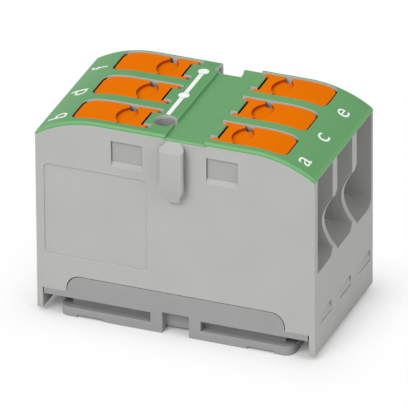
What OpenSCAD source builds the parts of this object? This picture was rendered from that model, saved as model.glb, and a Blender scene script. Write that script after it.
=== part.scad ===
// Lever-operated power distribution block: six conductor entries, three on each end,
// on current bars joined by one bridge bar, under an arched snap-on cover.
// Millimetres, +Z up. Origin: middle of the whole outline, on the plane the foot stands on.
// X runs between the two conductor ends, Y across the row of poles.

/* [Housing] */
// length between the two conductor ends
body_l = 44.4; // [43:0.1:46]
// width over three poles
body_w = 24.6; // [24.3:0.1:25.2]
// distance from pole to pole
pitch = 8.2; // [8.1:0.05:8.4]
// height of the flat top above the standing plane
top_z = 33.55; // [32.5:0.05:35]
// radius of the two falling shoulders
arch_r = 18; // [16:0.5:22]
// half length of the flat top
flat_half = 12.2; // [11:0.1:13]
// clear width of one pole chamber
cell_w = 6.4; // [6:0.05:6.6]
// height of the chamber floor
floor_z = 14.15; // [13.5:0.05:15]
// thickness of the end walls
end_t = 0.9; // [0.8:0.05:1.2]
// height of the lower edge of the end walls
skirt_z = 0.67; // [0.4:0.01:1]
// height of the lower edge of the long walls
wall_z = 4.17; // [4:0.01:5]

/* [Conductor entries] */
// height of the conductor axis
wire_z = 19.5; // [18.5:0.1:21]
// radius of the conductor hole
wire_r = 2.6; // [2:0.05:2.8]
// distance of the entry wall from the end face
entry_in = 5; // [4:0.1:6]
// thickness of the entry wall
entry_t = 1.4; // [1:0.1:2]
// radius of each wire funnel at the end face
funnel_r = 5.87; // [5.4:0.01:6]
// how much that radius falls per millimetre of depth
funnel_slope = 1.04; // [0.9:0.01:1.2]

/* [Cover] */
// thickness of the cover
cover_t = 0.55; // [0.5:0.05:0.8]
// depth of the lowered middle field
field_drop = 0.45; // [0.3:0.05:0.6]
// start of the middle field, measured from the middle
field_x0 = -1.45; // [-1.8:0.05:-1]
// end of the middle field, measured from the middle
field_x1 = 4.75; // [4.3:0.05:5]
// radius of the test opening
test_r = 1.75; // [1.5:0.05:1.8]
// position of the test opening along the block
test_x = -3.1; // [-3.5:0.05:-3]

/* [Levers] */
// width of a lever
lever_w = 5.8; // [5.4:0.05:6]
// distance of the lever's rounded end from the middle
lever_end = 16.9; // [16:0.1:17.2]
// distance of the fork's root from the middle
fork_root = 6.25; // [6:0.05:7]
// depth of the lever's face under the cover's face
lever_sink = 0.2; // [0.1:0.05:0.4]
// thickness of the lever's pad
pad_t = 1.8; // [1.4:0.1:2.2]
// width of each fork prong
prong_w = 0.8; // [0.6:0.05:1]
// distance of the pivot from the middle
pivot_x = 3.9; // [3.6:0.05:4.2]
// height of the pivot
pivot_z = 31.4; // [31:0.05:31.45]
// radius of the pivot pins
pivot_r = 0.9; // [0.7:0.05:1]
// distance of the tool dimple from the middle
dimple_x = 9.2; // [8.6:0.1:9.8]
// radius of the tool dimple
dimple_r = 1.6; // [1.3:0.05:1.8]

/* [Foot] */
// length of the foot plate
foot_l = 37.3; // [36:0.1:38]
// thickness of the foot plate
foot_t = 1.5; // [1.2:0.05:1.8]
// height of the groove round the foot
groove_h = 1.65; // [1.4:0.05:1.9]
// depth of that groove
groove_d = 1.5; // [1.2:0.1:2]
// width of the gap between the two foot halves
gap_w = 4.3; // [3.8:0.1:4.8]
// length of the tongue in the long walls
tongue_l = 34.7; // [34:0.1:36]

/* [Coupling] */
// how far the coupling tenon stands out
tenon_out = 1.7; // [1.4:0.05:2]
// width of the tenon's outer face
tenon_w = 3.7; // [3.4:0.05:3.9]

/* [Hidden] */
$fn = 64;
e = 0.01;
far = 60;
half_l = body_l / 2;
yf = -(body_w - tenon_out) / 2;
yb = yf + body_w;
front_t = 1.25;
poles = [yf + 4.45, yf + 4.45 + pitch, yf + 4.45 + 2 * pitch];
arch_z = top_z - arch_r;
gap = 0.02;
slot_clear = 0.3;
lever_z = top_z - lever_sink;
tab_half = lever_w / 2 - prong_w - 0.25;
wall_in_x = 1.9;
wall_in_t = 0.8;
floor_t = 1.5;
bar_z = 15.85;
bar_t = 0.9;
bar_w = 5.2;
bar_half = 14.6;
ledge_in = 1.4;
strip_t = 0.45;
strip_w = 3.6;
latch_x = [-10.1, -5.05];
latch_z = [26.75, 31];
sill_z = 27.5;
hook_in = 0.35;
slot_end = 4.5;
slot_r = 0.4;
groove_w = 4.2;
tenon_z = [22.9, 32.75];
ease = 0.25;
ramp_in = 1.55;
bead = 0.25;
label_d = 0.15;
pad_z = top_z - 1.17;
strip_z = top_z - 0.8;
sleeve_z = 27.7;

module box(x0, x1, y0, y1, z0, z1) {
  translate([x0, y0, z0]) cube([x1 - x0, y1 - y0, z1 - z0]);
}

module rod_y(x, z, r, y0, y1) {
  translate([x, y1, z]) rotate([90, 0, 0]) cylinder(r = r, h = y1 - y0);
}

// everything under the arched outline, sunk by the given amount
module arch(sink, y0, y1, z0) {
  box(-flat_half, flat_half, y0, y1, z0, top_z - sink);
  for (s = [-1, 1]) intersection() {
    rod_y(s * flat_half, arch_z, arch_r - sink, y0, y1);
    box(min(s * half_l, s * flat_half), max(s * half_l, s * flat_half), y0, y1, z0, top_z);
  }
}

// plan of one lever window, towards -X, open above the given height
module window(y, grow, z0) {
  r = 1.4;
  x0 = -lever_end - grow;
  x1 = -fork_root + grow + 0.05;
  w = lever_w / 2 + grow;
  box(x0 + r, x1, y - w, y + w, z0, far);
  box(x0, x1, y - w + r, y + w - r, z0, far);
  for (s = [-1, 1]) {
    translate([x0 + r, y + s * (w - r), z0]) cylinder(r = r, h = far - z0);
    // slot for one prong beside the tab
    a = y + min(s * tab_half, s * w);
    b = y + max(s * tab_half, s * w);
    box(x1 - e, -slot_end - slot_r, a, b, z0, far);
    box(x1 - e, -slot_end, a + slot_r, b - slot_r, z0, far);
    for (c = [a + slot_r, b - slot_r])
      translate([-slot_end - slot_r, c, z0]) cylinder(r = slot_r, h = far - z0);
  }
}

module both_ends() {
  children();
  mirror([1, 0, 0]) children();
}

// rounded dovetail, standing along +Z
module dovetail(w_root, w_tip, depth, z0, z1) {
  translate([0, 0, z0]) linear_extrude(z1 - z0)
    polygon([[-w_root / 2, 0], [w_root / 2, 0], [w_tip / 2, -depth * 0.7], [w_tip / 2, -depth],
      [-w_tip / 2, -depth], [-w_tip / 2, -depth * 0.7]]);
}

// undercut tenon with a short roof on top and a long taper below
module tenon() {
  h = tenon_w / 2;
  intersection() {
    translate([0, yf + e, tenon_z[0] - 1]) linear_extrude(tenon_z[1] - tenon_z[0] + 2)
      polygon([[-h + 0.4, 0], [-h, -0.9], [-h, -tenon_out + 0.3], [-h + 0.25, -tenon_out - e],
        [h - 0.25, -tenon_out - e], [h, -tenon_out + 0.3], [h, -0.9], [h - 0.4, 0]]);
    translate([-3, 0, 0]) rotate([90, 0, 90]) linear_extrude(6)
      polygon([[yf + e, tenon_z[0]], [yf - 0.7, tenon_z[0]], [yf - tenon_out, 25.6],
        [yf - tenon_out, 31.7], [yf - 0.75, 32.05], [yf + e, tenon_z[1]]]);
    translate([0, yf + 1, 0]) rotate([90, 0, 0]) linear_extrude(4)
      polygon([[-0.85, tenon_z[0]], [0.85, tenon_z[0]], [h, 25.4], [h, 32], [0.85, tenon_z[1]],
        [-0.85, tenon_z[1]], [-h, 32], [-h, 25.4]]);
  }
}

module chamber_cuts() {
  for (y = poles) {
    y0 = y - cell_w / 2;
    y1 = y + cell_w / 2;
    both_ends() {
      // conductor entry, clamping chamber and lever well
      box(-half_l - 1, -half_l + entry_in, y0, y1, floor_z, far);
      box(-half_l + entry_in + entry_t, -wall_in_x, y0, y1, floor_z, far);
      box(-half_l + 1, -wall_in_x - 2, y0, y1, 30.6, far);
      // conductor hole with its funnel
      translate([-half_l + entry_in - 1, y, wire_z]) rotate([0, 90, 0])
        cylinder(r = wire_r, h = entry_t + 2);
      translate([-half_l + entry_in - e, y, wire_z]) rotate([0, 90, 0])
        cylinder(r1 = 3.1, r2 = wire_r, h = 0.6);
      // open bearings for the lever's pivot pins
      rod_y(-pivot_x, pivot_z, pivot_r + 0.05, y0 - 0.4, y1 + 0.4);
      box(-pivot_x - pivot_r - 0.05, -pivot_x + pivot_r + 0.05, y0 - 0.4, y1 + 0.4, pivot_z, far);
    }
    // way for the current bar through the middle walls
    box(-wall_in_x - 1, wall_in_x + 1, y - bar_w / 2 - 0.1, y + bar_w / 2 + 0.1, bar_z, bar_z + bar_t + 0.1);
  }
}

// funnel round each conductor's axis: neighbours meet in a thin curved edge on the partition
module wire_funnels() {
  side = cell_w / 2;
  reach = (funnel_r - side + 0.1) / funnel_slope;
  both_ends() for (i = [0, 1, 2]) intersection() {
    translate([-half_l - e, poles[i], wire_z]) rotate([0, 90, 0])
      cylinder(r1 = funnel_r, r2 = side - 0.1, h = reach);
    box(-half_l - 1, 0, poles[i] - (i > 0 ? 4 : side - 0.1), poles[i] + (i < 2 ? 4 : side - 0.1),
      floor_z, far);
  }
}

// shallow ramp pockets low in the end faces
module end_pockets() {
  both_ends() for (y = poles) {
    translate([-half_l, y + 0.3 + 2.35, 0]) rotate([90, 0, 0]) linear_extrude(4.7)
      polygon([[-1, 5.4], [0, 5.4], [0.55, 6.9], [-1, 6.9]]);
  }
}

// windows for the cover's hooks: each has a sloping sill and is sunk into its wall by the given depth
module latch_windows(depth) {
  both_ends() translate([latch_x[0], 0, 0]) rotate([90, 0, 90]) linear_extrude(latch_x[1] - latch_x[0])
    polygon([[-1, latch_z[0]], [0, latch_z[0]], [hook_in, sill_z], [depth, sill_z],
      [depth, latch_z[1]], [-1, latch_z[1]]]);
}

module latch_cuts() {
  translate([0, yf, 0]) latch_windows(front_t + 1);
  translate([0, yb, 0]) mirror([0, 1, 0]) latch_windows(0.6);
  // ways for the hooks' arms
  both_ends() {
    box(latch_x[0] + 0.3, latch_x[1] - 0.3, yf + 0.55, yf + front_t + 1, sill_z, far);
    box(latch_x[0] + 0.3, latch_x[1] - 0.3, yb - 0.8, yb - 0.25, sill_z, far);
  }
}

// shallow label field with rounded corners on the front
module label_field() {
  x = [-20.9, -4.4];
  z = [10.07, 25.3];
  r = 0.8;
  box(x[0] + r, x[1] - r, yf - 1, yf + label_d, z[0], z[1]);
  box(x[0], x[1], yf - 1, yf + label_d, z[0] + r, z[1] - r);
  for (cx = [x[0] + r, x[1] - r], cz = [z[0] + r, z[1] - r]) rod_y(cx, cz, r, yf - 1, yf + label_d);
}

// coupling groove in the rear wall, open at the top
module coupling_groove(depth) {
  translate([0, yb + e, 0]) dovetail(groove_w - 0.8, groove_w, depth, tenon_z[0] - 0.3, far);
}

module tongue_outline(grow, y0, y1, z1) {
  r = 2.2;
  w = tongue_l / 2 + grow;
  box(-w, w, y0, y1, 0, z1 + grow - r);
  box(-w + r, w - r, y0, y1, 0, z1 + grow);
  for (s = [-1, 1]) rod_y(s * (w - r), z1 + grow - r, r, y0, y1);
}

module housing() {
  color("#b5b5b3") {
    difference() {
      union() {
        difference() {
          union() {
            arch(cover_t + gap, yf, yb, wall_z);
            both_ends() box(-half_l, -half_l + end_t, yf, yb, skirt_z, wall_z + e);
          }
          // hollow for the base, open below
          box(-half_l + end_t, half_l - end_t, yf + front_t, yb - 1, -1, floor_z - floor_t);
          chamber_cuts();
        }
        // sleeve under the test opening, between one lever's prongs
        box(-5.15, -wall_in_x + e, poles[0] - 1.95, poles[0] + 1.95, sleeve_z, top_z - cover_t - gap);
      }
      translate([test_x, poles[0], sleeve_z - e]) cylinder(r = test_r, h = 30);
      wire_funnels();
      end_pockets();
      latch_cuts();
      tongue_outline(0.12, yf - 1, yf + front_t + 1, 6.87);
      tongue_outline(0.12, yb - front_t - 1, yb + 1, 6.87);
      // room for the cover's thicker middle field
      box(field_x0 - 0.72, field_x1 + 0.72, yf + front_t, yb - 1, pad_z, far);
      box(field_x0 - 0.37, field_x1 + 0.37, yf - 1, yb + 1, strip_z, far);
      // bridge bar's way across the partitions
      box(test_x - 1.6, test_x + 1.6, yf + front_t + 0.2, yb - 1, floor_z - e, bar_z);
      label_field();
      coupling_groove(2.3);
    }
    tenon();
    // walls round the coupling groove
    difference() {
      box(-wall_in_x - wall_in_t, wall_in_x + wall_in_t, yb - 2.8, yb - 0.5, 21.8, pad_z);
      coupling_groove(2.3);
    }
    entry_floors();
  }
}

module ramp(x0, x1, y0, y1, lift) {
  translate([0, y1, 0]) rotate([90, 0, 0]) linear_extrude(y1 - y0)
    polygon([[x0, floor_z - e], [x1, floor_z - e], [x1, floor_z + 0.95 + lift], [x0, floor_z + lift]]);
}

// sloping floor of each entry with a bead along both sides, and the bar's ledge behind the entry wall
module entry_floors() {
  both_ends() for (y = poles) {
    x0 = -half_l + ramp_in;
    x1 = -half_l + entry_in + e;
    y0 = y - cell_w / 2 - e;
    y1 = y + cell_w / 2 + e;
    ramp(x0, x1, y0, y1, 0);
    ramp(x0, x1, y0, y0 + bead, bead);
    ramp(x0, x1, y1 - bead, y1, bead);
    box(-half_l + entry_in + entry_t - e, -bar_half + ledge_in, y0, y1, floor_z - e, bar_z);
  }
}

module cover_hooks() {
  xa = [latch_x[0] + 0.45, latch_x[1] - 0.45];
  xh = [latch_x[0] + 0.06, latch_x[1] - 0.06];
  z0 = sill_z + gap;
  z1 = latch_z[1] - 0.05;
  both_ends() {
    box(xa[0], xa[1], yf + 0.6, yf + 1.05, z0, top_z - cover_t + e);
    box(xh[0], xh[1], yf + hook_in, yf + 1.05, z0, z1);
    box(xa[0], xa[1], yb - 0.72, yb - 0.35, z0, top_z - cover_t + e);
    box(xh[0], xh[1], yb - 0.6 + gap, yb - 0.2, z0, z1);
  }
}

// outer form of the cover, its long edges eased
module arch_eased(y0, y1, z0) {
  translate([-flat_half, 0, 0]) rotate([90, 0, 90]) linear_extrude(2 * flat_half)
    polygon([[y0, z0], [y1, z0], [y1, top_z - ease], [y1 - ease, top_z], [y0 + ease, top_z],
      [y0, top_z - ease]]);
  for (s = [-1, 1]) intersection() {
    union() {
      rod_y(s * flat_half, arch_z, arch_r, y0 + ease, y1 - ease);
      translate([s * flat_half, y0 + ease, arch_z]) rotate([90, 0, 0])
        cylinder(r1 = arch_r, r2 = arch_r - ease, h = ease);
      translate([s * flat_half, y1, arch_z]) rotate([90, 0, 0])
        cylinder(r1 = arch_r - ease, r2 = arch_r, h = ease);
    }
    box(min(s * half_l, s * flat_half), max(s * half_l, s * flat_half), y0, y1, z0, top_z);
  }
}

module cover() {
  end_slope = asin((half_l - flat_half) / arch_r);
  color("#6aa46b") difference() {
    union() {
      difference() {
        arch_eased(yf, yb, arch_z + 5);
        arch(cover_t, yf - 1, yb + 1, arch_z);
      }
      box(field_x0 - 0.7, field_x1 + 0.7, yf + front_t + 0.05, yb - 1.05, pad_z, top_z - cover_t + e);
      box(field_x0 - 0.35, field_x1 + 0.35, yf, yb, strip_z + gap, top_z - cover_t + e);
      cover_hooks();
    }
    box(field_x0, field_x1, yf - 1, yb + 1, top_z - field_drop, far);
    // eased long edges of the middle field
    for (y = [yf, yb]) translate([(field_x0 + field_x1) / 2, y, top_z - field_drop]) rotate([45, 0, 0])
      cube([field_x1 - field_x0, 0.28, 0.28], center = true);
    both_ends() for (y = poles) window(y, slot_clear, 25);
    // eased end of each tab, over which the lever's root swings
    both_ends() for (y = poles) translate([-fork_root + 0.35, y, top_z]) rotate([0, 45, 0])
      cube([0.22, 2 * tab_half + 0.4, 0.22], center = true);
    // bevel across both ends
    both_ends() translate([-half_l, 0, arch_z + arch_r * cos(end_slope)])
      rotate([0, (90 - end_slope) / 2, 0]) box(-2, 0.16, yf - 1, yb + 1, -3, 3);
    translate([test_x, poles[0], 20]) cylinder(r = test_r, h = 30);
    coupling_groove(2.6);
  }
}

module base() {
  groove_z = foot_t + groove_h;
  plate_r = 1.5;
  color("#a1a1a1") difference() {
    union() {
      // flange that closes the housing from below
      box(-half_l + end_t + 0.2, half_l - end_t - 0.2, yf, yb, groove_z, wall_z);
      for (y = [yf, yb - 1]) tongue_part(y);
      // web and foot plate
      box(-17, 17, yf + groove_d, yb - groove_d, foot_t - e, groove_z + e);
      box(-foot_l / 2 + plate_r, foot_l / 2 - plate_r, yf, yb, 0, foot_t);
      box(-foot_l / 2, foot_l / 2, yf + plate_r, yb - plate_r, 0, foot_t);
      for (sx = [-1, 1], y = [yf + plate_r, yb - plate_r])
        translate([sx * (foot_l / 2 - plate_r), y, 0]) cylinder(r = plate_r, h = foot_t);
      // posts beside the middle gap
      for (s = [-1, 1]) box(min(s * 2.1, s * 4), max(s * 2.1, s * 4), yf, yb, foot_t - e, groove_z + e);
    }
    // middle gap and its recesses
    box(-gap_w / 2, gap_w / 2, yf - 1, yf + groove_d, -1, 3.55);
    box(-gap_w / 2, gap_w / 2, yb - groove_d, yb + 1, -1, 3.55);
    box(-gap_w / 2, gap_w / 2, yf - 1, yb + 1, -1, skirt_z);
    // relief notches under the foot halves
    both_ends() box(-15.8, -11.47, yf - 1, yb + 1, -1, 0.4);
  }
}

module tongue_part(y) {
  intersection() {
    tongue_outline(0, y, y + 1, 6.87);
    box(-half_l, half_l, y, y + 1, wall_z - 0.1, far);
  }
}

module current_bar(i) {
  y = poles[i];
  color("#c9c4b8") {
    box(-bar_half, bar_half, y - bar_w / 2, y + bar_w / 2, bar_z, bar_z + bar_t);
    // contact ribs under the clamping edges
    both_ends() rod_y(-7.05, bar_z + bar_t - 0.15, 0.35, y - bar_w / 2, y + bar_w / 2);
  }
}

module bridge_bar() {
  color("#c9c4b8") box(test_x - 1.5, test_x + 1.5, poles[0] - 2.5, poles[2] + 2.5, floor_z, bar_z);
}

module spring_half(y) {
  r = 2.2;
  cx = -7.1;
  cz = 25;
  color("#d2d3d2") {
    // fixed leg
    box(cx + r - strip_t / 2, cx + r + strip_t / 2, y - strip_w / 2, y + strip_w / 2, bar_z + bar_t, cz + e);
    // bow
    difference() {
      rod_y(cx, cz, r + strip_t / 2, y - strip_w / 2, y + strip_w / 2);
      rod_y(cx, cz, r - strip_t / 2, y - strip_w, y + strip_w);
      box(cx - 4, cx + 4, y - 4, y + 4, cz - 5, cz);
    }
    // clamping leg
    translate([cx - r, y, cz + 0.03]) rotate([0, -17, 0])
      box(-strip_t / 2, strip_t / 2, -strip_w / 2, strip_w / 2, -8.37, 0);
  }
}

module lever_half(y) {
  w = lever_w / 2;
  r = 1.3;
  color("#de7707") difference() {
    union() {
      // pad under the arched face
      intersection() {
        arch(lever_sink, y - w, y + w, 20);
        union() {
          box(-lever_end + r, -fork_root, y - w, y + w, 29, far);
          box(-lever_end, -fork_root, y - w + r, y + w - r, 29, far);
          for (s = [-1, 1]) translate([-lever_end + r, y + s * (w - r), 29]) cylinder(r = r, h = 8);
        }
      }
      // prongs with hubs, cams and pivot pins
      for (s = [-1, 1]) {
        ya = y + (s > 0 ? w - prong_w : -w);
        translate([0, ya + prong_w, 0]) rotate([90, 0, 0]) linear_extrude(prong_w)
          polygon([[-8, lever_z], [-5.35, lever_z], [-5.05, 32.85], [-4.9, 32.3], [-4.7, 31.85],
            [-3.9, 31.9], [-3.05, 31.2], [-2.95, 30.2], [-3.4, 27.5], [-4.2, 25.3], [-5, 25.3],
            [-5.2, 29], [-6.4, 30.6], [-8, 31.2]]);
        rod_y(-pivot_x, pivot_z, pivot_r, ya, ya + prong_w);
        rod_y(-pivot_x, pivot_z, pivot_r, min(y + s * (w - 0.2), y + s * (w + 0.6)),
          max(y + s * (w - 0.2), y + s * (w + 0.6)));
      }
    }
    // hollow under the pad
    intersection() {
      arch(lever_sink + pad_t, y - w - 1, y + w + 1, 15);
      box(-far, -8, y - w - 1, y + w + 1, 15, far);
    }
    // undercut root of the fork between the prongs
    translate([0, y + tab_half + 0.25, 0]) rotate([90, 0, 0]) linear_extrude(2 * tab_half + 0.5)
      polygon([[-fork_root, lever_z], [-fork_root + 5, lever_z], [-fork_root + 5, 25], [-8.4, 25],
        [-8.4, lever_z - 1.8], [-7.4, lever_z - 1.5]]);
    // tool dimple and the two edge notches
    translate([-dimple_x, y, lever_z - 0.5]) cylinder(r = dimple_r, h = 5);
    for (s = [-1, 1]) translate([-dimple_x, y + s * (w + 0.05), lever_z - 1.2]) cylinder(r = 0.7, h = 5);
  }
}

module lever_a() { mirror([1, 0, 0]) lever_half(poles[0]); }
module lever_b() { lever_half(poles[0]); }
module lever_c() { mirror([1, 0, 0]) lever_half(poles[1]); }
module lever_d() { lever_half(poles[1]); }
module lever_e() { mirror([1, 0, 0]) lever_half(poles[2]); }
module lever_f() { lever_half(poles[2]); }
module spring_a() { mirror([1, 0, 0]) spring_half(poles[0]); }
module spring_b() { spring_half(poles[0]); }
module spring_c() { mirror([1, 0, 0]) spring_half(poles[1]); }
module spring_d() { spring_half(poles[1]); }
module spring_e() { mirror([1, 0, 0]) spring_half(poles[2]); }
module spring_f() { spring_half(poles[2]); }
module bar_ab() { current_bar(0); }
module bar_cd() { current_bar(1); }
module bar_ef() { current_bar(2); }

housing();
cover();
base();
bridge_bar();
bar_ab();
bar_cd();
bar_ef();
lever_a();
lever_b();
lever_c();
lever_d();
lever_e();
lever_f();
spring_a();
spring_b();
spring_c();
spring_d();
spring_e();
spring_f();
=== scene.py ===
import math
import bpy
import bmesh
from mathutils import Matrix, Vector


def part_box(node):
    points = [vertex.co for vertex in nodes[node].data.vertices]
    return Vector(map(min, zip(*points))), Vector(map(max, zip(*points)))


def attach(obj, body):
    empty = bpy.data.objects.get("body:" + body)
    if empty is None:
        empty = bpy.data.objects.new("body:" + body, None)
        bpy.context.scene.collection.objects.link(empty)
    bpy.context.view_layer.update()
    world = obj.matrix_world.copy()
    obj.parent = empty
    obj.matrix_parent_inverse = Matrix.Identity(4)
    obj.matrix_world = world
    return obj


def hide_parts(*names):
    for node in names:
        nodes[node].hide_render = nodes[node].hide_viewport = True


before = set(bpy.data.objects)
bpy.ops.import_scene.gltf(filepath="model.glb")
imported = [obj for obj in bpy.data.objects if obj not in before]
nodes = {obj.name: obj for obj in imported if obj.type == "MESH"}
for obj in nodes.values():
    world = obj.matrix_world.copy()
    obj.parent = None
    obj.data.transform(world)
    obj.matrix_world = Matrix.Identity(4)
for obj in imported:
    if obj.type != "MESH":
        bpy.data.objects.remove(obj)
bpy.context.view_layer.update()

mm = 0.001
# where the three poles lie across the block, each with the letters of its right and left lever
poles = {"ab": -7.0, "cd": 1.2, "ef": 9.4}  # mm


def linearColour(hexCode):
    channels = []
    for i in (1, 3, 5):
        c = int(hexCode[i:i + 2], 16) / 255
        channels.append(c / 12.92 if c <= 0.04045 else ((c + 0.055) / 1.055) ** 2.4)
    return (*channels, 1.0)


# one node with its settings, input values and links: a tuple of (node, output) is a link
def addNode(tree, kind, settings=None, **inputs):
    node = tree.nodes.new(kind)
    for key, value in (settings or {}).items():
        setattr(node, key, value)
    for key, value in inputs.items():
        numbered = key.startswith("in") and key[2:].isdigit()
        socket = node.inputs[int(key[2:]) if numbered else key.replace("_", " ")]
        if isinstance(value, tuple) and len(value) == 2 and isinstance(value[0], bpy.types.Node):
            tree.links.new(value[0].outputs[value[1]], socket)
        else:
            socket.default_value = value
    return node


def newMaterial(name):
    material = bpy.data.materials.new(name)
    material.use_nodes = True
    material.node_tree.nodes.clear()
    return material, material.node_tree


def coat(nodeName, material):
    slots = nodes[nodeName].data.materials
    slots.clear()
    slots.append(material)


def placed(name, data):
    obj = bpy.data.objects.new(name, data)
    bpy.context.scene.collection.objects.link(obj)
    return obj


# unit vector from the block towards something seen at these angles
def towards(azimuth, elevation):
    az, el = math.radians(azimuth), math.radians(elevation)
    return Vector((math.sin(az) * math.cos(el), -math.cos(az) * math.cos(el), math.sin(el)))


# the matrix of something that stands at a place and looks back along a vector
def lookBack(place, out):
    return Matrix.Translation(place) @ out.to_track_quat("Z", "Y").to_matrix().to_4x4()


cameraView = {
    "target": (-0.132, 0.85, 16.05),  # mm
    "azimuth": 21.413,
    "elevation": 28.515,
    "roll": -0.343,
    "distance": 1613.5,  # mm
    "lens": 953.03, "sensor": 36,
    "clip": (0.1, 20),  # m
}


def placeCamera(c):
    data = bpy.data.cameras.new("camera")
    data.lens = c["lens"]
    data.sensor_width = c["sensor"]
    data.clip_start, data.clip_end = c["clip"]
    obj = placed("camera", data)
    back = towards(c["azimuth"], c["elevation"])
    place = Vector(c["target"]) * mm + back * c["distance"] * mm
    obj.matrix_world = lookBack(place, back) @ Matrix.Rotation(math.radians(c["roll"]), 4, "Z")
    bpy.context.scene.camera = obj


placeCamera(cameraView)
print("camera placed")

# what the mouldings and the ink share
mouldedFinish = {
    "samples": 8, "grainDetail": 3.0, "grainRough": 0.6, "cloudDetail": 2.0, "roughSpan": 0.06,
    "bumpDeep": 0.02,  # mm
    "ior": 1.53, "specular": 0.4,
    # how far the rounded normal agrees with the flat one where the painted edge highlight starts and where
    # it is full
    "rimStart": 0.995, "rimFull": 0.8,
    # how open a place is where the painted shade is darkest and where it stops
    "closed": 0.1, "open": 0.8,
}


# painted highlight: the rounded moulded edges are coloured lighter, along the places where the rounded
# normal leaves the flat one
def paintedHighlightColour(tree, look, colour):
    m = mouldedFinish
    flat = addNode(tree, "ShaderNodeNewGeometry")
    rounded = addNode(tree, "ShaderNodeBevel", {"samples": m["samples"]}, Radius=look["rimWide"] * mm)
    along = addNode(tree, "ShaderNodeVectorMath", {"operation": "DOT_PRODUCT"}, in0=(rounded, "Normal"),
                    in1=(flat, "Normal"))
    share = addNode(tree, "ShaderNodeMapRange", Value=(along, "Value"), From_Min=m["rimStart"],
                    From_Max=m["rimFull"], To_Min=0.0, To_Max=look["highlightShare"])
    mixed = addNode(tree, "ShaderNodeMix", {"data_type": "RGBA"}, in0=(share, 0), in6=colour,
                    in7=linearColour(look["edgeHighlight"]))
    return (mixed, 2)


# painted shade: deep corners and hollows are coloured darker, as shade falls there
def hollowColour(tree, look, colour):
    m = mouldedFinish
    openness = addNode(tree, "ShaderNodeAmbientOcclusion", {"samples": m["samples"]},
                       Distance=look["hollow"] * mm)
    level = addNode(tree, "ShaderNodeMapRange", Value=(openness, "AO"), From_Min=m["closed"],
                    From_Max=m["open"], To_Min=look["hollowDark"], To_Max=1.0)
    shaded = addNode(tree, "ShaderNodeMix", {"data_type": "RGBA", "blend_type": "MULTIPLY"}, in0=1.0,
                     in6=colour, in7=(level, 0))
    return (shaded, 2)


# the pigment's slow change between two shades of one colour
def cloudedColour(tree, look, cloud):
    return addNode(tree, "ShaderNodeMix", {"data_type": "RGBA"}, in0=(cloud, "Fac"),
                   in6=linearColour(look["dark"]), in7=linearColour(look["light"]))


# moulded polyamide: satin, with the fine grain of a spark-eroded mould and soft moulded edges, and where
# the look asks for them a painted highlight along the edges and painted shade in the hollows
def mouldedPlastic(name, look, colourNode=None):
    m = mouldedFinish
    material, tree = newMaterial(name)
    where = addNode(tree, "ShaderNodeTexCoord")
    grain = addNode(tree, "ShaderNodeTexNoise", Vector=(where, "Object"), Scale=1 / (look["grain"] * mm),
                    Detail=m["grainDetail"], Roughness=m["grainRough"])
    cloud = addNode(tree, "ShaderNodeTexNoise", Vector=(where, "Object"), Scale=1 / (look["cloud"] * mm),
                    Detail=m["cloudDetail"])
    if colourNode is None:
        colour = (cloudedColour(tree, look, cloud), 2)
    else:
        colour = colourNode(tree, where, cloud)
    if "edgeHighlight" in look:
        colour = paintedHighlightColour(tree, look, colour)
    if "hollow" in look:
        colour = hollowColour(tree, look, colour)
    rough = addNode(tree, "ShaderNodeMapRange", Value=(grain, "Fac"), To_Min=look["rough"] - m["roughSpan"],
                    To_Max=look["rough"] + m["roughSpan"])
    edge = addNode(tree, "ShaderNodeBevel", {"samples": m["samples"]}, Radius=look["edge"] * mm)
    bump = addNode(tree, "ShaderNodeBump", Strength=look["bump"], Distance=m["bumpDeep"] * mm,
                   Height=(grain, "Fac"), Normal=(edge, "Normal"))
    shader = addNode(tree, "ShaderNodeBsdfPrincipled", Base_Color=colour, Roughness=(rough, 0),
                     Normal=(bump, "Normal"), IOR=m["ior"],
                     Specular_IOR_Level=look.get("specular", m["specular"]))
    addNode(tree, "ShaderNodeOutputMaterial", Surface=(shader, 0))
    return material


# the housing's light grey: an evenly eroded mould leaves it satin, with a painted highlight along its edges
# and painted shade in its hollows
# grain, cloud, edge, rimWide and the reach of the painted shade are in mm here and in the looks below
housingLook = {
    "dark": "#b0b0ae", "light": "#b9b9b7", "grain": 0.25, "cloud": 9.0,
    "rough": 0.5, "edge": 0.15, "bump": 0.25, "specular": 0.25,
    "edgeHighlight": "#d8d8d6", "rimWide": 0.15, "highlightShare": 0.8, "hollow": 4.0, "hollowDark": 0.72,
}
housingPlastic = mouldedPlastic("moulded grey polyamide", housingLook)
coat("housing", housingPlastic)

# the foot is moulded apart, in a darker grey with the same satin, with a painted highlight along its edges
# and a light painted shade in its hollows
baseLook = {
    "dark": "#989898", "light": "#a1a1a1", "grain": 0.25, "cloud": 9.0,
    "rough": 0.5, "edge": 0.15, "bump": 0.25, "specular": 0.25,
    "edgeHighlight": "#c6c6c4", "rimWide": 0.12, "highlightShare": 0.5, "hollow": 3.0, "hollowDark": 0.9,
}
coat("base", mouldedPlastic("moulded grey polyamide, foot", baseLook))

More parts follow.
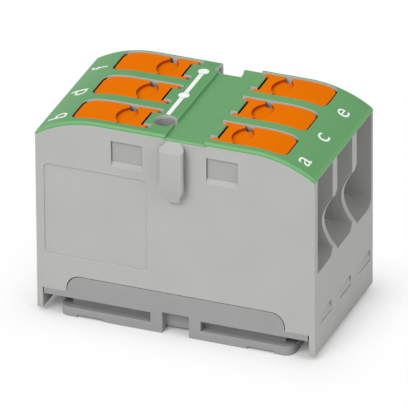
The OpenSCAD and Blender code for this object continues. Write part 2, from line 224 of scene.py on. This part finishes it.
coverLow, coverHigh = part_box("cover")
coverLook = {
    "dark": "#5c995e", "light": "#62a064", "grain": 0.3, "cloud": 8.0,
    "rough": 0.45, "edge": 0.12, "bump": 0.2, "specular": 0.25,
    # the paler green of the painted highlight along the rounded edges
    "edgeHighlight": "#9ccf9a", "rimWide": 0.15, "highlightShare": 0.5,
    # the top is flat this far out from the middle and falls off with this radius past it
    "flatHalf": 12.2, "shoulder": 18.0,  # mm
    # X of the upright faces of the two steps in the top, and how near a point lies to count as on a face
    "stepLeft": -1.45, "stepRight": 4.75, "onStep": 0.03, "onSide": 0.02,  # mm
    # painted shade: the darker green left of the left step, and the distance over which it blends in
    "deep": "#56965a", "shadeWithin": 0.5,  # mm
    # the normal's share along Z from which a face belongs to the top
    "topFrom": 0.25,
    # the painted highlight's lighter green on the bevels, and the normal's share along Y in front and along
    # X at the ends
    "bevelHighlight": "#6cab6d", "bandFront": -0.4, "bandEnd": 0.62,
    # the openings' walls: the grey body colour painted lighter, as a highlight, down to the lip's depth,
    # and painted shade, nearly black, below it
    "wall": "#cfcfcc", "shadedWall": "#2e2e2a", "lipDeep": 0.15,  # mm
    # walls that keep the light grey rather than the painted shade: those with the normal's share along X
    # under this, or nearer the middle
    "sideWall": 0.7, "windowFrom": 5.0,  # mm
    # the hooks hang below this height
    "hook": "#a9a9a7", "hookTop": 31.5,  # mm
}


# the green lies on the cover's outside, and the walls of its openings show the grey body colour, painted
# lighter as a highlight, and painted dark as shade on the end walls below the lip
def coverColour(tree, where, cloud):
    c = coverLook
    place = addNode(tree, "ShaderNodeSeparateXYZ", Vector=(where, "Object"))
    facing = addNode(tree, "ShaderNodeSeparateXYZ", Vector=(where, "Normal"))
    acrossX = addNode(tree, "ShaderNodeMath", {"operation": "ABSOLUTE"}, in0=(facing, "X"))
    # painted shade: the green is painted a little darker on the left of the left step
    green = cloudedColour(tree, c, cloud)
    leftShade = addNode(tree, "ShaderNodeMapRange", Value=(place, "X"), From_Min=c["stepLeft"] * mm,
                   From_Max=(c["stepLeft"] - c["shadeWithin"]) * mm)
    green = addNode(tree, "ShaderNodeMix", {"data_type": "RGBA"}, in0=(leftShade, 0), in6=(green, 2),
                    in7=linearColour(c["deep"]))
    # painted highlight: the bevels along the front and at the ends are painted a lighter green
    front = addNode(tree, "ShaderNodeMath", {"operation": "LESS_THAN"}, in0=(facing, "Y"),
                    in1=c["bandFront"])
    ends = addNode(tree, "ShaderNodeMath", {"operation": "GREATER_THAN"}, in0=(acrossX, 0),
                   in1=c["bandEnd"])
    highlightBand = addNode(tree, "ShaderNodeMath", {"operation": "MAXIMUM"}, in0=(front, 0), in1=(ends, 0))
    skin = addNode(tree, "ShaderNodeMix", {"data_type": "RGBA"}, in0=(highlightBand, 0), in6=(green, 2),
                   in7=linearColour(c["bevelHighlight"]))
    # the outside is the top, the four sides and the upright faces of the two steps
    outside = addNode(tree, "ShaderNodeMath", {"operation": "GREATER_THAN"}, in0=(facing, "Z"),
                      in1=c["topFrom"])
    sides = [("X", coverLow.x, c["onSide"]), ("X", coverHigh.x, c["onSide"]),
             ("Y", coverLow.y, c["onSide"]), ("Y", coverHigh.y, c["onSide"]),
             ("X", c["stepLeft"] * mm, c["onStep"]), ("X", c["stepRight"] * mm, c["onStep"])]
    for axis, value, reach in sides:
        near = addNode(tree, "ShaderNodeMath", {"operation": "COMPARE"}, in0=(place, axis), in1=value,
                       in2=reach * mm)
        outside = addNode(tree, "ShaderNodeMath", {"operation": "MAXIMUM"}, in0=(outside, 0), in1=(near, 0))
    # height above the top's fall, so that the lip of an opening has the same depth everywhere
    farOut = addNode(tree, "ShaderNodeMath", {"operation": "ABSOLUTE"}, in0=(place, "X"))
    over = addNode(tree, "ShaderNodeMath", {"operation": "SUBTRACT"}, in0=(farOut, 0),
                   in1=c["flatHalf"] * mm)
    over = addNode(tree, "ShaderNodeMath", {"operation": "MAXIMUM"}, in0=(over, 0), in1=0.0)
    square = addNode(tree, "ShaderNodeMath", {"operation": "MULTIPLY"}, in0=(over, 0), in1=(over, 0))
    fall = addNode(tree, "ShaderNodeMath", {"operation": "DIVIDE"}, in0=(square, 0),
                   in1=2 * c["shoulder"] * mm)
    level = addNode(tree, "ShaderNodeMath", {"operation": "ADD"}, in0=(place, "Z"), in1=(fall, 0))
    # painted highlight: a light grey on the lip, side walls and middle openings; painted shade: dark end
    # walls below the lip
    lip = addNode(tree, "ShaderNodeMath", {"operation": "GREATER_THAN"}, in0=(level, 0),
                  in1=coverHigh.z - c["lipDeep"] * mm)
    sideWall = addNode(tree, "ShaderNodeMath", {"operation": "LESS_THAN"}, in0=(acrossX, 0),
                       in1=c["sideWall"])
    middle = addNode(tree, "ShaderNodeMath", {"operation": "LESS_THAN"}, in0=(farOut, 0),
                     in1=c["windowFrom"] * mm)
    lit = addNode(tree, "ShaderNodeMath", {"operation": "MAXIMUM"}, in0=(lip, 0), in1=(sideWall, 0))
    lit = addNode(tree, "ShaderNodeMath", {"operation": "MAXIMUM"}, in0=(lit, 0), in1=(middle, 0))
    wall = addNode(tree, "ShaderNodeMix", {"data_type": "RGBA"}, in0=(lit, 0),
                   in6=linearColour(c["shadedWall"]), in7=linearColour(c["wall"]))
    low = addNode(tree, "ShaderNodeMath", {"operation": "LESS_THAN"}, in0=(place, "Z"),
                  in1=c["hookTop"] * mm)
    wall = addNode(tree, "ShaderNodeMix", {"data_type": "RGBA"}, in0=(low, 0), in6=(wall, 2),
                   in7=linearColour(c["hook"]))
    mixed = addNode(tree, "ShaderNodeMix", {"data_type": "RGBA"}, in0=(outside, 0), in6=(wall, 2),
                    in7=(skin, 2))
    return (mixed, 2)


coat("cover", mouldedPlastic("moulded green polyamide", coverLook, coverColour))

leverLook = {
    # wall is a painted shade: the darker orange of the steep side walls
    "dark": "#e87200", "light": "#ee7800", "wall": "#c45200", "grain": 0.3, "cloud": 5.0,
    "rough": 0.55, "edge": 0.06, "bump": 0.15, "specular": 0.01,
    # a painted highlight along the edges and painted shade in the hollows
    "edgeHighlight": "#f6a65c", "rimWide": 0.12, "highlightShare": 0.6, "hollow": 1.5, "hollowDark": 0.6,
    # the normal's share along Z below which a face is a side wall
    "steepBelow": 0.4,
}


# painted shade: the steep side walls are coloured a darker orange than the face
def leverColour(tree, where, cloud):
    face = cloudedColour(tree, leverLook, cloud)
    facing = addNode(tree, "ShaderNodeSeparateXYZ", Vector=(where, "Normal"))
    steep = addNode(tree, "ShaderNodeMath", {"operation": "LESS_THAN"}, in0=(facing, "Z"),
                    in1=leverLook["steepBelow"])
    mixed = addNode(tree, "ShaderNodeMix", {"data_type": "RGBA"}, in0=(steep, 0), in6=(face, 2),
                    in7=linearColour(leverLook["wall"]))
    return (mixed, 2)


leverPlastic = mouldedPlastic("moulded orange polyamide", leverLook, leverColour)


# an outline in two directions, in mm, carried along the third as a closed piece
def extruded(name, outline, along, low, high):
    work = bmesh.new()
    axis = "XYZ".index(along)
    rings = []
    for level in (low, high):
        points = [(*pair[:axis], level, *pair[axis:]) for pair in outline]
        rings.append([work.verts.new([v * mm for v in point]) for point in points])
    for ring in rings:
        work.faces.new(ring)
    for i in range(len(outline)):
        j = (i + 1) % len(outline)
        work.faces.new((rings[0][i], rings[0][j], rings[1][j], rings[1][i]))
    bmesh.ops.recalc_face_normals(work, faces=work.faces)
    mesh = bpy.data.meshes.new(name)
    work.to_mesh(mesh)
    work.free()
    return placed(name, mesh)


# a copy of the solid's mesh with the cutters taken away and the fills let into it
def carved(source, cutters, fills=()):
    work = source.copy()
    work.data = source.data.copy()
    bpy.context.scene.collection.objects.link(work)
    for cutter in cutters:
        cut = work.modifiers.new("cut", "BOOLEAN")
        cut.operation = "DIFFERENCE"
        cut.solver = "EXACT"
        cut.object = cutter
    mesh = bpy.data.meshes.new_from_object(work.evaluated_get(bpy.context.evaluated_depsgraph_get()))
    joined = bmesh.new()
    joined.from_mesh(mesh)
    for fill in fills:
        joined.from_mesh(fill.data)
    joined.to_mesh(mesh)
    joined.free()
    for extra in [work, *cutters, *fills]:
        bpy.data.objects.remove(extra)
    return mesh


sharpFrom = 25  # degrees


# the carved mesh takes the solid's place, smooth but for its real edges
def standIn(mesh, material, source):
    if "custom_normal" in mesh.attributes:
        mesh.attributes.remove(mesh.attributes["custom_normal"])
    mesh.shade_smooth()
    mesh.set_sharp_from_angle(angle=math.radians(sharpFrom))
    mesh.materials.clear()
    mesh.materials.append(material)
    obj = placed(mesh.name, mesh)
    obj.matrix_world = source.matrix_world.copy()
    return obj


# the partitions' ends: a scooped edge, flat in front and funnelled behind, with a rounded foot
endShape = {  # mm
    "end": 22.2, "partitions": (-2.9, 5.3),
    # the funnel's axis, its radius at the end face, how fast it narrows, and how far off the partition is
    "axisZ": 19.5, "funnel": 5.87, "slope": 1.04, "apart": 4.06, "steps": 16,
    # the sill under the partitions, the plates' upper and inner ends, half a plate and half the thin web
    "floor": 14.15, "top": 24.6, "inner": 3.3, "halfWall": 0.9, "web": 0.13,
    # the rounded feet: where the wall stands off the pole, the radius, how far in they run
    "wallY": 3.2, "foot": 1.5, "footIn": 4.9, "footSteps": 8,
    # fine groove that leaves a ledge under each shallow pocket
    "ledgeY": (-2.05, 2.65), "ledgeZ": (5.12, 5.3), "ledgeDeep": 0.3,
    # cutters start clear of the solid, and fills lap into it and stay off its own faces
    "clear": 0.5, "lap": 0.05, "under": 0.1, "inset": 0.01, "skin": 0.005,
}


# where a cone round the pole's axis meets the partition's middle: how far in, and how high
def scoopCurve(m):
    curve = []
    for i in range(m["steps"] + 1):
        t = math.cos(math.pi * i / m["steps"])
        radius = math.sqrt(m["apart"] ** 2 + t * t * (m["funnel"] ** 2 - m["apart"] ** 2))
        height = math.copysign(math.sqrt(max(radius ** 2 - m["apart"] ** 2, 0)), t)
        curve.append(((m["funnel"] - radius) / m["slope"], m["axisZ"] + height))
    return curve


def footOutline(m, corner):
    r, lap = m["foot"], m["lap"]
    turns = [math.pi * i / (2 * m["footSteps"]) for i in range(m["footSteps"] + 1)]
    arc = [(corner - r * (1 - math.sin(t)), m["floor"] + r * (1 - math.cos(t))) for t in turns]
    return [(corner + lap, m["floor"] - lap), (corner - r, m["floor"] - lap), *arc,
            (corner + lap, m["floor"] + r)]


def formHousing(m):
    curve = scoopCurve(m)
    skin, bottom = m["skin"], m["floor"] - m["under"]
    cut = [(-m["clear"], curve[0][1]), *curve, (-m["clear"], curve[-1][1])]
    plate = [(m["inner"], m["top"]), (skin, m["top"]), *[(x + skin, z) for x, z in curve],
             (skin, bottom), (m["inner"], bottom)]
    (y0, y1), (z0, z1) = m["ledgeY"], m["ledgeZ"]
    ledge = [(y0, z0), (y1, z0), (y1, z1), (y0, z1)]
    cutters, fills = [], []
    for side in (-1, 1):
        for y in m["partitions"]:
            place = [(side * (m["end"] - x), z) for x, z in cut]
            cutters.append(extruded("web", place, "Y", y - m["web"], y + m["web"]))
            place = [(side * (m["end"] - x), z) for x, z in plate]
            fills.append(extruded("plate", place, "Y", y - m["halfWall"] - skin, y + m["lap"]))
        foot = sorted((side * (m["end"] - m["inset"]), side * (m["end"] - m["footIn"])))
        groove = sorted((side * (m["end"] + m["clear"]), side * (m["end"] - m["ledgeDeep"])))
        for pole in poles.values():
            place = [(pole + y, z) for y, z in ledge]
            cutters.append(extruded("ledge", place, "X", *groove))
            fills.append(extruded("foot", footOutline(m, pole + m["wallY"]), "X", *foot))
    mesh = carved(nodes["housing"], cutters, fills)
    mesh.name = "housing_formed"
    obj = standIn(mesh, housingPlastic, nodes["housing"])
    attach(obj, "block")
    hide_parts("housing")


formHousing(endShape)

leverShape = {  # mm
    "top": 33.35, "clear": 1.0,
    # lens-shaped tool pocket across the pad, which opens into both edge notches
    "pocketX": 9.2, "pocketHalf": 1.6, "pocketReach": 2.85, "deep": 0.55, "pocketSteps": 8,
    # side faces: where the solid part has them, and where the rounded mould parting puts them
    "sideY": (2.85, 2.95), "sideOut": 3.03, "sideLow": 31.9,
}


# the solid lever with its tool pocket cut in
def formLever(letter, side, middle, m):
    source = nodes["lever_" + letter]
    radius = (m["pocketHalf"] ** 2 + m["pocketReach"] ** 2) / (2 * m["pocketHalf"])
    swing = math.asin(m["pocketReach"] / radius)
    arc = [swing * (i / m["pocketSteps"] - 1) for i in range(2 * m["pocketSteps"])]
    pocket = [(m["pocketX"] + turn * (radius * math.cos(t) - radius + m["pocketHalf"]),
               turn * radius * math.sin(t)) for turn in (1, -1) for t in arc]
    place = [(side * x, middle + y) for x, y in pocket]
    cutter = extruded("pocket", place, "Z", m["top"] - m["deep"], m["top"] + m["clear"])
    mesh = carved(source, [cutter])
    mesh.name = "lever_%s_formed" % letter
    for vert in mesh.vertices:
        off = vert.co.y / mm - middle
        if m["sideY"][0] < abs(off) < m["sideY"][1] and vert.co.z / mm > m["sideLow"]:
            vert.co.y = (middle + math.copysign(m["sideOut"], off)) * mm
    obj = standIn(mesh, leverPlastic, source)
    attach(obj, "arm_" + letter)
    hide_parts(source.name)


for pair, middle in poles.items():
    for letter, side in zip(pair, (1, -1)):
        coat("lever_" + letter, leverPlastic)
        formLever(letter, side, middle, leverShape)
print("plastics done")

# spring steel is rolled bright, and tin leaves the copper bars warmer and a little duller
# line, edge and bumpDeep are in mm
stripFinish = {"samples": 6, "detail": 3.0, "roughSpan": 0.08, "edge": 0.08, "bump": 0.2, "bumpDeep": 0.01}
springLook = {"dark": "#b9bab9", "light": "#d6d7d6", "line": 0.15, "stretch": (1.0, 6.0, 1.0), "rough": 0.3}
barLook = {"dark": "#bcb7ab", "light": "#d3cec2", "line": 0.2, "stretch": (0.2, 1.0, 1.0), "rough": 0.35}


# rolled strip: fine lines along the strip from the rolls, bright and slightly soft
def rolledStrip(name, look):
    m = stripFinish
    material, tree = newMaterial(name)
    where = addNode(tree, "ShaderNodeTexCoord")
    stretch = addNode(tree, "ShaderNodeMapping", Vector=(where, "Object"), Scale=look["stretch"])
    lines = addNode(tree, "ShaderNodeTexNoise", Vector=(stretch, "Vector"), Scale=1 / (look["line"] * mm),
                    Detail=m["detail"])
    tint = cloudedColour(tree, look, lines)
    rough = addNode(tree, "ShaderNodeMapRange", Value=(lines, "Fac"), To_Min=look["rough"] - m["roughSpan"],
                    To_Max=look["rough"] + m["roughSpan"])
    edge = addNode(tree, "ShaderNodeBevel", {"samples": m["samples"]}, Radius=m["edge"] * mm)
    bump = addNode(tree, "ShaderNodeBump", Strength=m["bump"], Distance=m["bumpDeep"] * mm,
                   Height=(lines, "Fac"), Normal=(edge, "Normal"))
    shader = addNode(tree, "ShaderNodeBsdfPrincipled", Base_Color=(tint, 2), Roughness=(rough, 0),
                     Normal=(bump, "Normal"), Metallic=1.0)
    addNode(tree, "ShaderNodeOutputMaterial", Surface=(shader, 0))
    return material


springSteel = rolledStrip("rolled stainless spring steel", springLook)
tinnedCopper = rolledStrip("tinned rolled copper", barLook)
for letter in "abcdef":
    coat("spring_" + letter, springSteel)
for name in ("bar_ab", "bar_cd", "bar_ef", "bridge_bar"):
    coat(name, tinnedCopper)
print("metals done")

# pad printed ink: thin, matt and very slightly uneven
inkLook = {
    "dark": "#f0f1ee", "light": "#ffffff", "grain": 0.12, "cloud": 1.5,
    "rough": 0.55, "edge": 0.02, "bump": 0.1,
}
whiteInk = mouldedPlastic("white pad printing ink", inkLook)
markShape = {  # mm
    "lineX": -3.45, "lineWide": 0.68, "lineFrom": -5.1,
    # the dots lie on the line, at these places along Y, and the line stops just inside their edges
    "dots": (1.4, 9.5), "dotRadius": 0.85, "dotSteps": 48, "dotLap": 0.02,
    # how far the ink stands above the cover and reaches into it
    "proud": 0.008, "deep": 0.03,
    # longest edge that follows the arch, rounds of splitting towards it, and points taken as one
    "longest": 0.4, "rounds": 4, "same": 0.001,
    # position letters: low X, high X, low Y, high Y
    "letters": {
        "a": (18.8, 20.55, -9.6, -7.85), "c": (18.75, 20.5, -1.72, -0.12),
        "e": (18.78, 20.52, 6.5, 8.2), "b": (-20.95, -18.15, -9.45, -7.8),
        "d": (-21.0, -18.25, -1.65, 0.3), "f": (-20.95, -18.2, 7.45, 8.55),
    },
    "letterSteps": 5,
}


def archHeight(x):
    over = max(abs(x) / mm - coverLook["flatHalf"], 0)
    radius = coverLook["shoulder"]
    return coverHigh.z - (radius - math.sqrt(radius ** 2 - over ** 2)) * mm


# lays a flat outline on the arched top and gives it the ink's thickness
def inkPiece(name, mesh):
    m = markShape
    work = bmesh.new()
    work.from_mesh(mesh)
    bmesh.ops.remove_doubles(work, verts=work.verts, dist=m["same"] * mm)
    for _ in range(m["rounds"]):
        long = [edge for edge in work.edges if edge.calc_length() > m["longest"] * mm]
        if not long:
            break
        bmesh.ops.subdivide_edges(work, edges=long, cuts=1)
        bmesh.ops.triangulate(work, faces=work.faces)
    for vert in work.verts:
        vert.co.z = archHeight(vert.co.x) + m["proud"] * mm
    raised = bmesh.ops.extrude_face_region(work, geom=work.faces[:])
    for vert in (v for v in raised["geom"] if isinstance(v, bmesh.types.BMVert)):
        vert.co.z -= (m["proud"] + m["deep"]) * mm
    bmesh.ops.recalc_face_normals(work, faces=work.faces)
    work.to_mesh(mesh)
    work.free()
    obj = placed(name, mesh)
    mesh.materials.clear()
    mesh.materials.append(whiteInk)
    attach(obj, "block")


def flatOutline(name, points):
    mesh = bpy.data.meshes.new(name)
    mesh.from_pydata([(x * mm, y * mm, 0) for x, y in points], [], [tuple(range(len(points)))])
    return mesh


def dotOutline(x, y, r, steps):
    turns = [2 * math.pi * i / steps for i in range(steps)]
    return [(x + r * math.cos(t), y + r * math.sin(t)) for t in turns]


# one letter of the built-in font, fitted into its box and read from the right-hand side
def letterOutline(letter, box):
    curve = bpy.data.curves.new("outline_" + letter, "FONT")
    curve.body = letter
    curve.resolution_u = markShape["letterSteps"]
    holder = placed("outline_" + letter, curve)
    mesh = bpy.data.meshes.new_from_object(holder.evaluated_get(bpy.context.evaluated_depsgraph_get()))
    bpy.data.objects.remove(holder)
    bpy.data.curves.remove(curve)
    turned = [(-v.co.y, v.co.x) for v in mesh.vertices]
    xs, ys = [p[0] for p in turned], [p[1] for p in turned]
    lowX, highX, lowY, highY = box
    for vert, (x, y) in zip(mesh.vertices, turned):
        vert.co = Vector(((lowX + (x - min(xs)) / (max(xs) - min(xs)) * (highX - lowX)) * mm,
                          (lowY + (y - min(ys)) / (max(ys) - min(ys)) * (highY - lowY)) * mm, 0))
    return mesh


# the line runs from its free end to the last dot, in stretches between the dots
def makeMarks(m):
    half = m["lineWide"] / 2
    low, high = m["lineX"] - half, m["lineX"] + half
    reach = math.sqrt(m["dotRadius"] ** 2 - half ** 2) - m["dotLap"]
    start = m["lineFrom"]
    for i, y in enumerate(m["dots"]):
        name = "mark_line_%d" % (i + 1)
        stop = y - reach
        inkPiece(name, flatOutline(name, [(low, start), (high, start), (high, stop), (low, stop)]))
        start = y + reach
    for i, y in enumerate(m["dots"]):
        name = "mark_dot_%d" % (i + 1)
        inkPiece(name, flatOutline(name, dotOutline(m["lineX"], y, m["dotRadius"], m["dotSteps"])))
    for letter, box in m["letters"].items():
        inkPiece("letter_" + letter, letterOutline(letter, box))


makeMarks(markShape)
print("marking done")


# rays that meet the camera straight or as a mirror image, as against those that light the block
def seenRays(tree):
    path = addNode(tree, "ShaderNodeLightPath")
    return addNode(tree, "ShaderNodeMath", {"operation": "MAXIMUM"}, in0=(path, "Is Camera Ray"),
                   in1=(path, "Is Glossy Ray"))


floorLook = {
    "colour": "#f4f4f3", "half": 3.0,  # m
    # the share of plain white under the block, and half the block's footprint
    "white": 0.1, "footprint": (21.0, 11.0, 0.0),  # mm
    # how far from the footprint the paper is all white, and how steeply it gets there
    "fade": 18.0, "fadePower": 3.5,
}


# matt white paper, lit so that it blows out to white away from the block and keeps the shadow near it
def makeFloor(f):
    data = bpy.data.meshes.new("floor")
    s = f["half"]
    data.from_pydata([(-s, -s, 0), (s, -s, 0), (s, s, 0), (-s, s, 0)], [], [(0, 1, 2, 3)])
    obj = placed("floor", data)
    material, tree = newMaterial("matt white paper")
    matt = addNode(tree, "ShaderNodeBsdfDiffuse", Color=linearColour(f["colour"]))
    white = addNode(tree, "ShaderNodeEmission", Color=(1, 1, 1, 1), Strength=1.0)
    where = addNode(tree, "ShaderNodeTexCoord")
    folded = addNode(tree, "ShaderNodeVectorMath", {"operation": "ABSOLUTE"}, in0=(where, "Object"))
    beyond = addNode(tree, "ShaderNodeVectorMath", {"operation": "SUBTRACT"}, in0=(folded, "Vector"),
                     in1=[v * mm for v in f["footprint"]])
    clear = addNode(tree, "ShaderNodeVectorMath", {"operation": "MAXIMUM"}, in0=(beyond, "Vector"),
                    in1=(0, 0, 0))
    away = addNode(tree, "ShaderNodeVectorMath", {"operation": "LENGTH"}, in0=(clear, "Vector"))
    near = addNode(tree, "ShaderNodeMapRange", Value=(away, "Value"), From_Min=0.0,
                   From_Max=f["fade"] * mm, To_Min=1.0, To_Max=0.0)
    steep = addNode(tree, "ShaderNodeMath", {"operation": "POWER"}, in0=(near, 0), in1=f["fadePower"])
    keep = addNode(tree, "ShaderNodeMath", {"operation": "MULTIPLY"}, in0=(steep, 0), in1=1 - f["white"])
    fade = addNode(tree, "ShaderNodeMath", {"operation": "SUBTRACT"}, in0=1.0, in1=(keep, 0))
    share = addNode(tree, "ShaderNodeMath", {"operation": "MULTIPLY"}, in0=(seenRays(tree), 0),
                    in1=(fade, 0))
    both = addNode(tree, "ShaderNodeMixShader", in0=(share, 0), in1=(matt, 0), in2=(white, 0))
    addNode(tree, "ShaderNodeOutputMaterial", Surface=(both, 0))
    data.materials.append(material)


ambient = 0.3


# plain white behind the block, and a weaker even light on it
def makeWorld():
    world = bpy.data.worlds.new("studio")
    bpy.context.scene.world = world
    world.use_nodes = True
    tree = world.node_tree
    tree.nodes.clear()
    soft = addNode(tree, "ShaderNodeBackground", Color=(1, 1, 1, 1), Strength=ambient)
    white = addNode(tree, "ShaderNodeBackground", Color=(1, 1, 1, 1), Strength=1.0)
    both = addNode(tree, "ShaderNodeMixShader", in0=(seenRays(tree), 0), in1=(soft, 0), in2=(white, 0))
    addNode(tree, "ShaderNodeOutputWorld", Surface=(both, 0))


# azimuth and elevation in degrees, size in m, power in W
lights = {
    "key": {"azimuth": -20, "elevation": 44, "size": 0.7, "power": 7.7},
    "fill": {"azimuth": 72, "elevation": 40, "size": 0.8, "power": 3.4},
    "overhead": {"azimuth": 0, "elevation": 88, "size": 0.8, "power": 1.9},
    "rear": {"azimuth": 250, "elevation": 25, "size": 0.8, "power": 1.9},
}
lightDistance = 1.2  # m


def areaLight(name, light):
    data = bpy.data.lights.new(name, "AREA")
    data.shape = "DISK"
    data.size = light["size"]
    data.energy = light["power"]
    obj = placed(name, data)
    out = towards(light["azimuth"], light["elevation"])
    obj.matrix_world = lookBack(out * lightDistance, out)


makeFloor(floorLook)
makeWorld()
for name, light in lights.items():
    areaLight(name, light)
bpy.context.scene.view_settings.view_transform = "Standard"
print("studio done")
